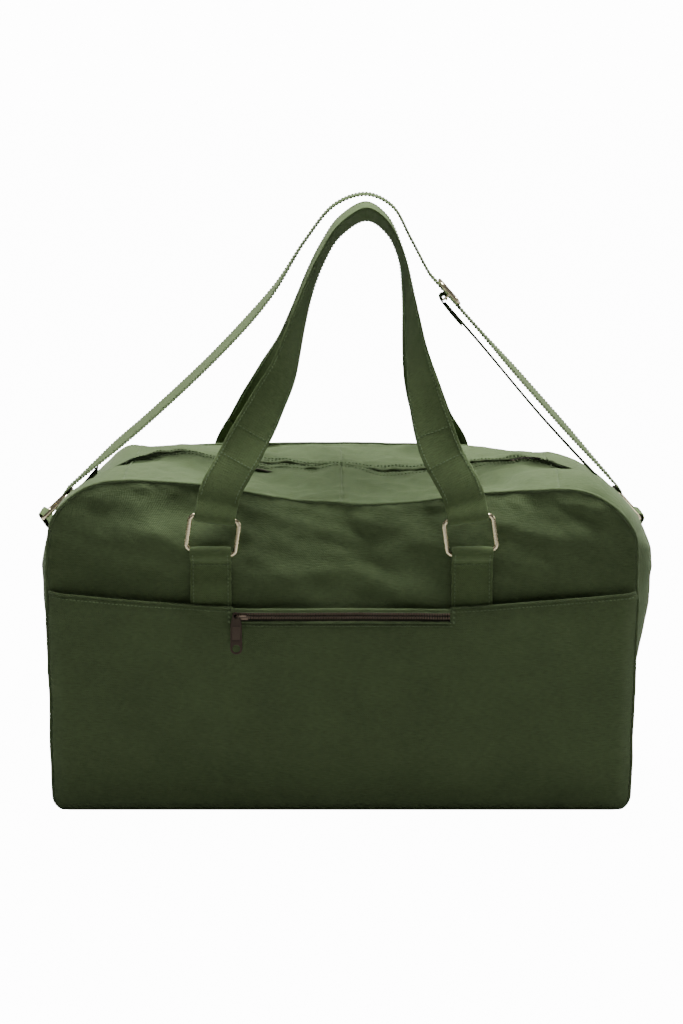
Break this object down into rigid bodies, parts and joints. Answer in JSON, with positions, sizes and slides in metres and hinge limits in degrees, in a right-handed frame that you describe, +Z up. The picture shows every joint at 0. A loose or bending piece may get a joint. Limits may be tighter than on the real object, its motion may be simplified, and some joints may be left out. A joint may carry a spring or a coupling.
{
  "type": "duffel bag",
  "caption": "Soft canvas weekend duffel bag with zipped top mouth, zipped front pocket, carrying handles on metal rings and an adjustable shoulder strap.",
  "frame": {"origin": "middle of the floor under the bag", "axes": "+X along the bag to the viewer's right, -Y to the front with the zipped pocket, +Z up"},
  "size_m": [0.5696, 0.2856, 0.5533],
  "materials": {
    "canvas": "matte cotton canvas, olive green, fine twill",
    "webbing": "matte folded canvas webbing with edge topstitching",
    "lining": "plain cotton seam tape",
    "board": "plain stiffener board",
    "gold": "pale gold plated, soft shine",
    "bronze": "dark antique bronze, worn bright on the edges",
    "tape": "dark woven zip tape"
  },
  "bodies": {
    "bag_shell": {"front_panel": "canvas", "back_panel": "canvas", "side_gusset_left": "canvas", "side_gusset_right": "canvas", "base_panel": "canvas", "base_board": "board", "seam_binding_front": "lining", "seam_binding_back": "lining", "main_zip_end_left": "bronze", "main_zip_end_right": "bronze", "main_zip_end_tab_left": "canvas", "main_zip_end_tab_right": "canvas", "pocket_panel": "canvas", "pocket_side_seam_left": "canvas", "pocket_side_seam_right": "canvas", "pocket_bottom_seam": "canvas", "pocket_zip_facing": "canvas", "pocket_zip_tape_lower": "tape", "pocket_zip_tape_upper": "tape", "pocket_zip_teeth_lower": "bronze", "pocket_zip_teeth_upper": "bronze", "pocket_zip_stop_left": "bronze", "pocket_zip_stop_right": "bronze", "handle_tab_front_left": "webbing", "handle_tab_front_right": "webbing", "handle_tab_back_left": "webbing", "handle_tab_back_right": "webbing", "side_tab_patch_left": "webbing", "side_tab_patch_right": "webbing"},
    "flap_front": {"top_flap_front": "canvas", "main_zip_tape_front": "tape", "main_zip_teeth_front": "bronze"},
    "flap_back": {"top_flap_back": "canvas", "main_zip_tape_back": "tape", "main_zip_teeth_back": "bronze"},
    "main_slider": {"main_zip_slider": "bronze"},
    "main_puller": {"main_zip_puller": "bronze"},
    "pocket_slider": {"pocket_zip_slider": "bronze"},
    "pocket_puller": {"pocket_zip_puller": "bronze"},
    "carry_handle_front": {"handle_front": "webbing"},
    "carry_handle_back": {"handle_back": "webbing"},
    "strap": {"shoulder_strap": "webbing", "strap_return": "webbing", "side_ring_left": "gold", "side_ring_right": "gold", "side_tab_loop_left": "webbing", "side_tab_loop_right": "webbing"},
    "adjuster": {"strap_adjuster": "gold", "strap_sewn_end": "webbing"},
    "ring_front_left": {"handle_ring_front_left": "gold"},
    "ring_front_right": {"handle_ring_front_right": "gold"},
    "ring_back_left": {"handle_ring_back_left": "gold"},
    "ring_back_right": {"handle_ring_back_right": "gold"}
  },
  "joints": [
    {"name": "flap_front_open", "type": "hinge", "parent": "bag_shell", "child": "flap_front", "pos_m": [0, -0.1247, 0.3], "axis": [1, 0, 0], "range_deg": [0, 60]},
    {"name": "ring_front_left_swing", "type": "hinge", "parent": "bag_shell", "child": "ring_front_left", "pos_m": [-0.117, -0.13561, 0.242], "axis": [1, 0, 0], "range_deg": [0, 90]},
    {"name": "ring_front_right_swing", "type": "hinge", "parent": "bag_shell", "child": "ring_front_right", "pos_m": [0.117, -0.13561, 0.242], "axis": [1, 0, 0], "range_deg": [0, 90]},
    {"name": "handle_front_swing", "type": "hinge", "parent": "ring_front_left", "child": "carry_handle_front", "pos_m": [-0.11266, -0.13561, 0.2729], "axis": [1, 0, 0], "range_deg": [0, 25]},
    {"name": "flap_back_open", "type": "hinge", "parent": "bag_shell", "child": "flap_back", "pos_m": [0, 0.1247, 0.3], "axis": [-1, 0, 0], "range_deg": [0, 60]},
    {"name": "ring_back_left_swing", "type": "hinge", "parent": "bag_shell", "child": "ring_back_left", "pos_m": [-0.117, 0.13561, 0.242], "axis": [-1, 0, 0], "range_deg": [0, 90]},
    {"name": "ring_back_right_swing", "type": "hinge", "parent": "bag_shell", "child": "ring_back_right", "pos_m": [0.117, 0.13561, 0.242], "axis": [-1, 0, 0], "range_deg": [0, 90]},
    {"name": "handle_back_swing", "type": "hinge", "parent": "ring_back_left", "child": "carry_handle_back", "pos_m": [-0.11266, 0.13561, 0.2729], "axis": [-1, 0, 0], "range_deg": [0, 25]},
    {"name": "main_zip_slide", "type": "slide", "parent": "bag_shell", "child": "main_slider", "axis": [-1, 0, 0], "range_m": [0, 0.3235]},
    {"name": "main_puller_lift", "type": "hinge", "parent": "main_slider", "child": "main_puller", "pos_m": [0.1618, 0, 0.3032], "axis": [0, -1, 0], "range_deg": [0, 150]},
    {"name": "pocket_zip_slide", "type": "slide", "parent": "bag_shell", "child": "pocket_slider", "axis": [1, 0, 0], "range_m": [0, 0.175]},
    {"name": "pocket_puller_swing", "type": "hinge", "parent": "pocket_slider", "child": "pocket_puller", "pos_m": [-0.0945, -0.137, 0.184], "axis": [0, 1, 0], "range_deg": [-35, 100]},
    {"name": "strap_swing", "type": "hinge", "parent": "bag_shell", "child": "strap", "pos_m": [0, 0, 0.237], "axis": [1, 0, 0], "range_deg": [-12, 12]},
    {"name": "strap_adjust", "type": "slide", "parent": "strap", "child": "adjuster", "axis": [0.665, 0, -0.7468], "range_m": [0, 0.1], "deforming": ["strap_return"]}
  ],
  "couplings": [
    {"joint": "ring_front_right_swing", "follows": "ring_front_left_swing", "ratio": 1},
    {"joint": "ring_back_right_swing", "follows": "ring_back_left_swing", "ratio": 1}
  ]
}
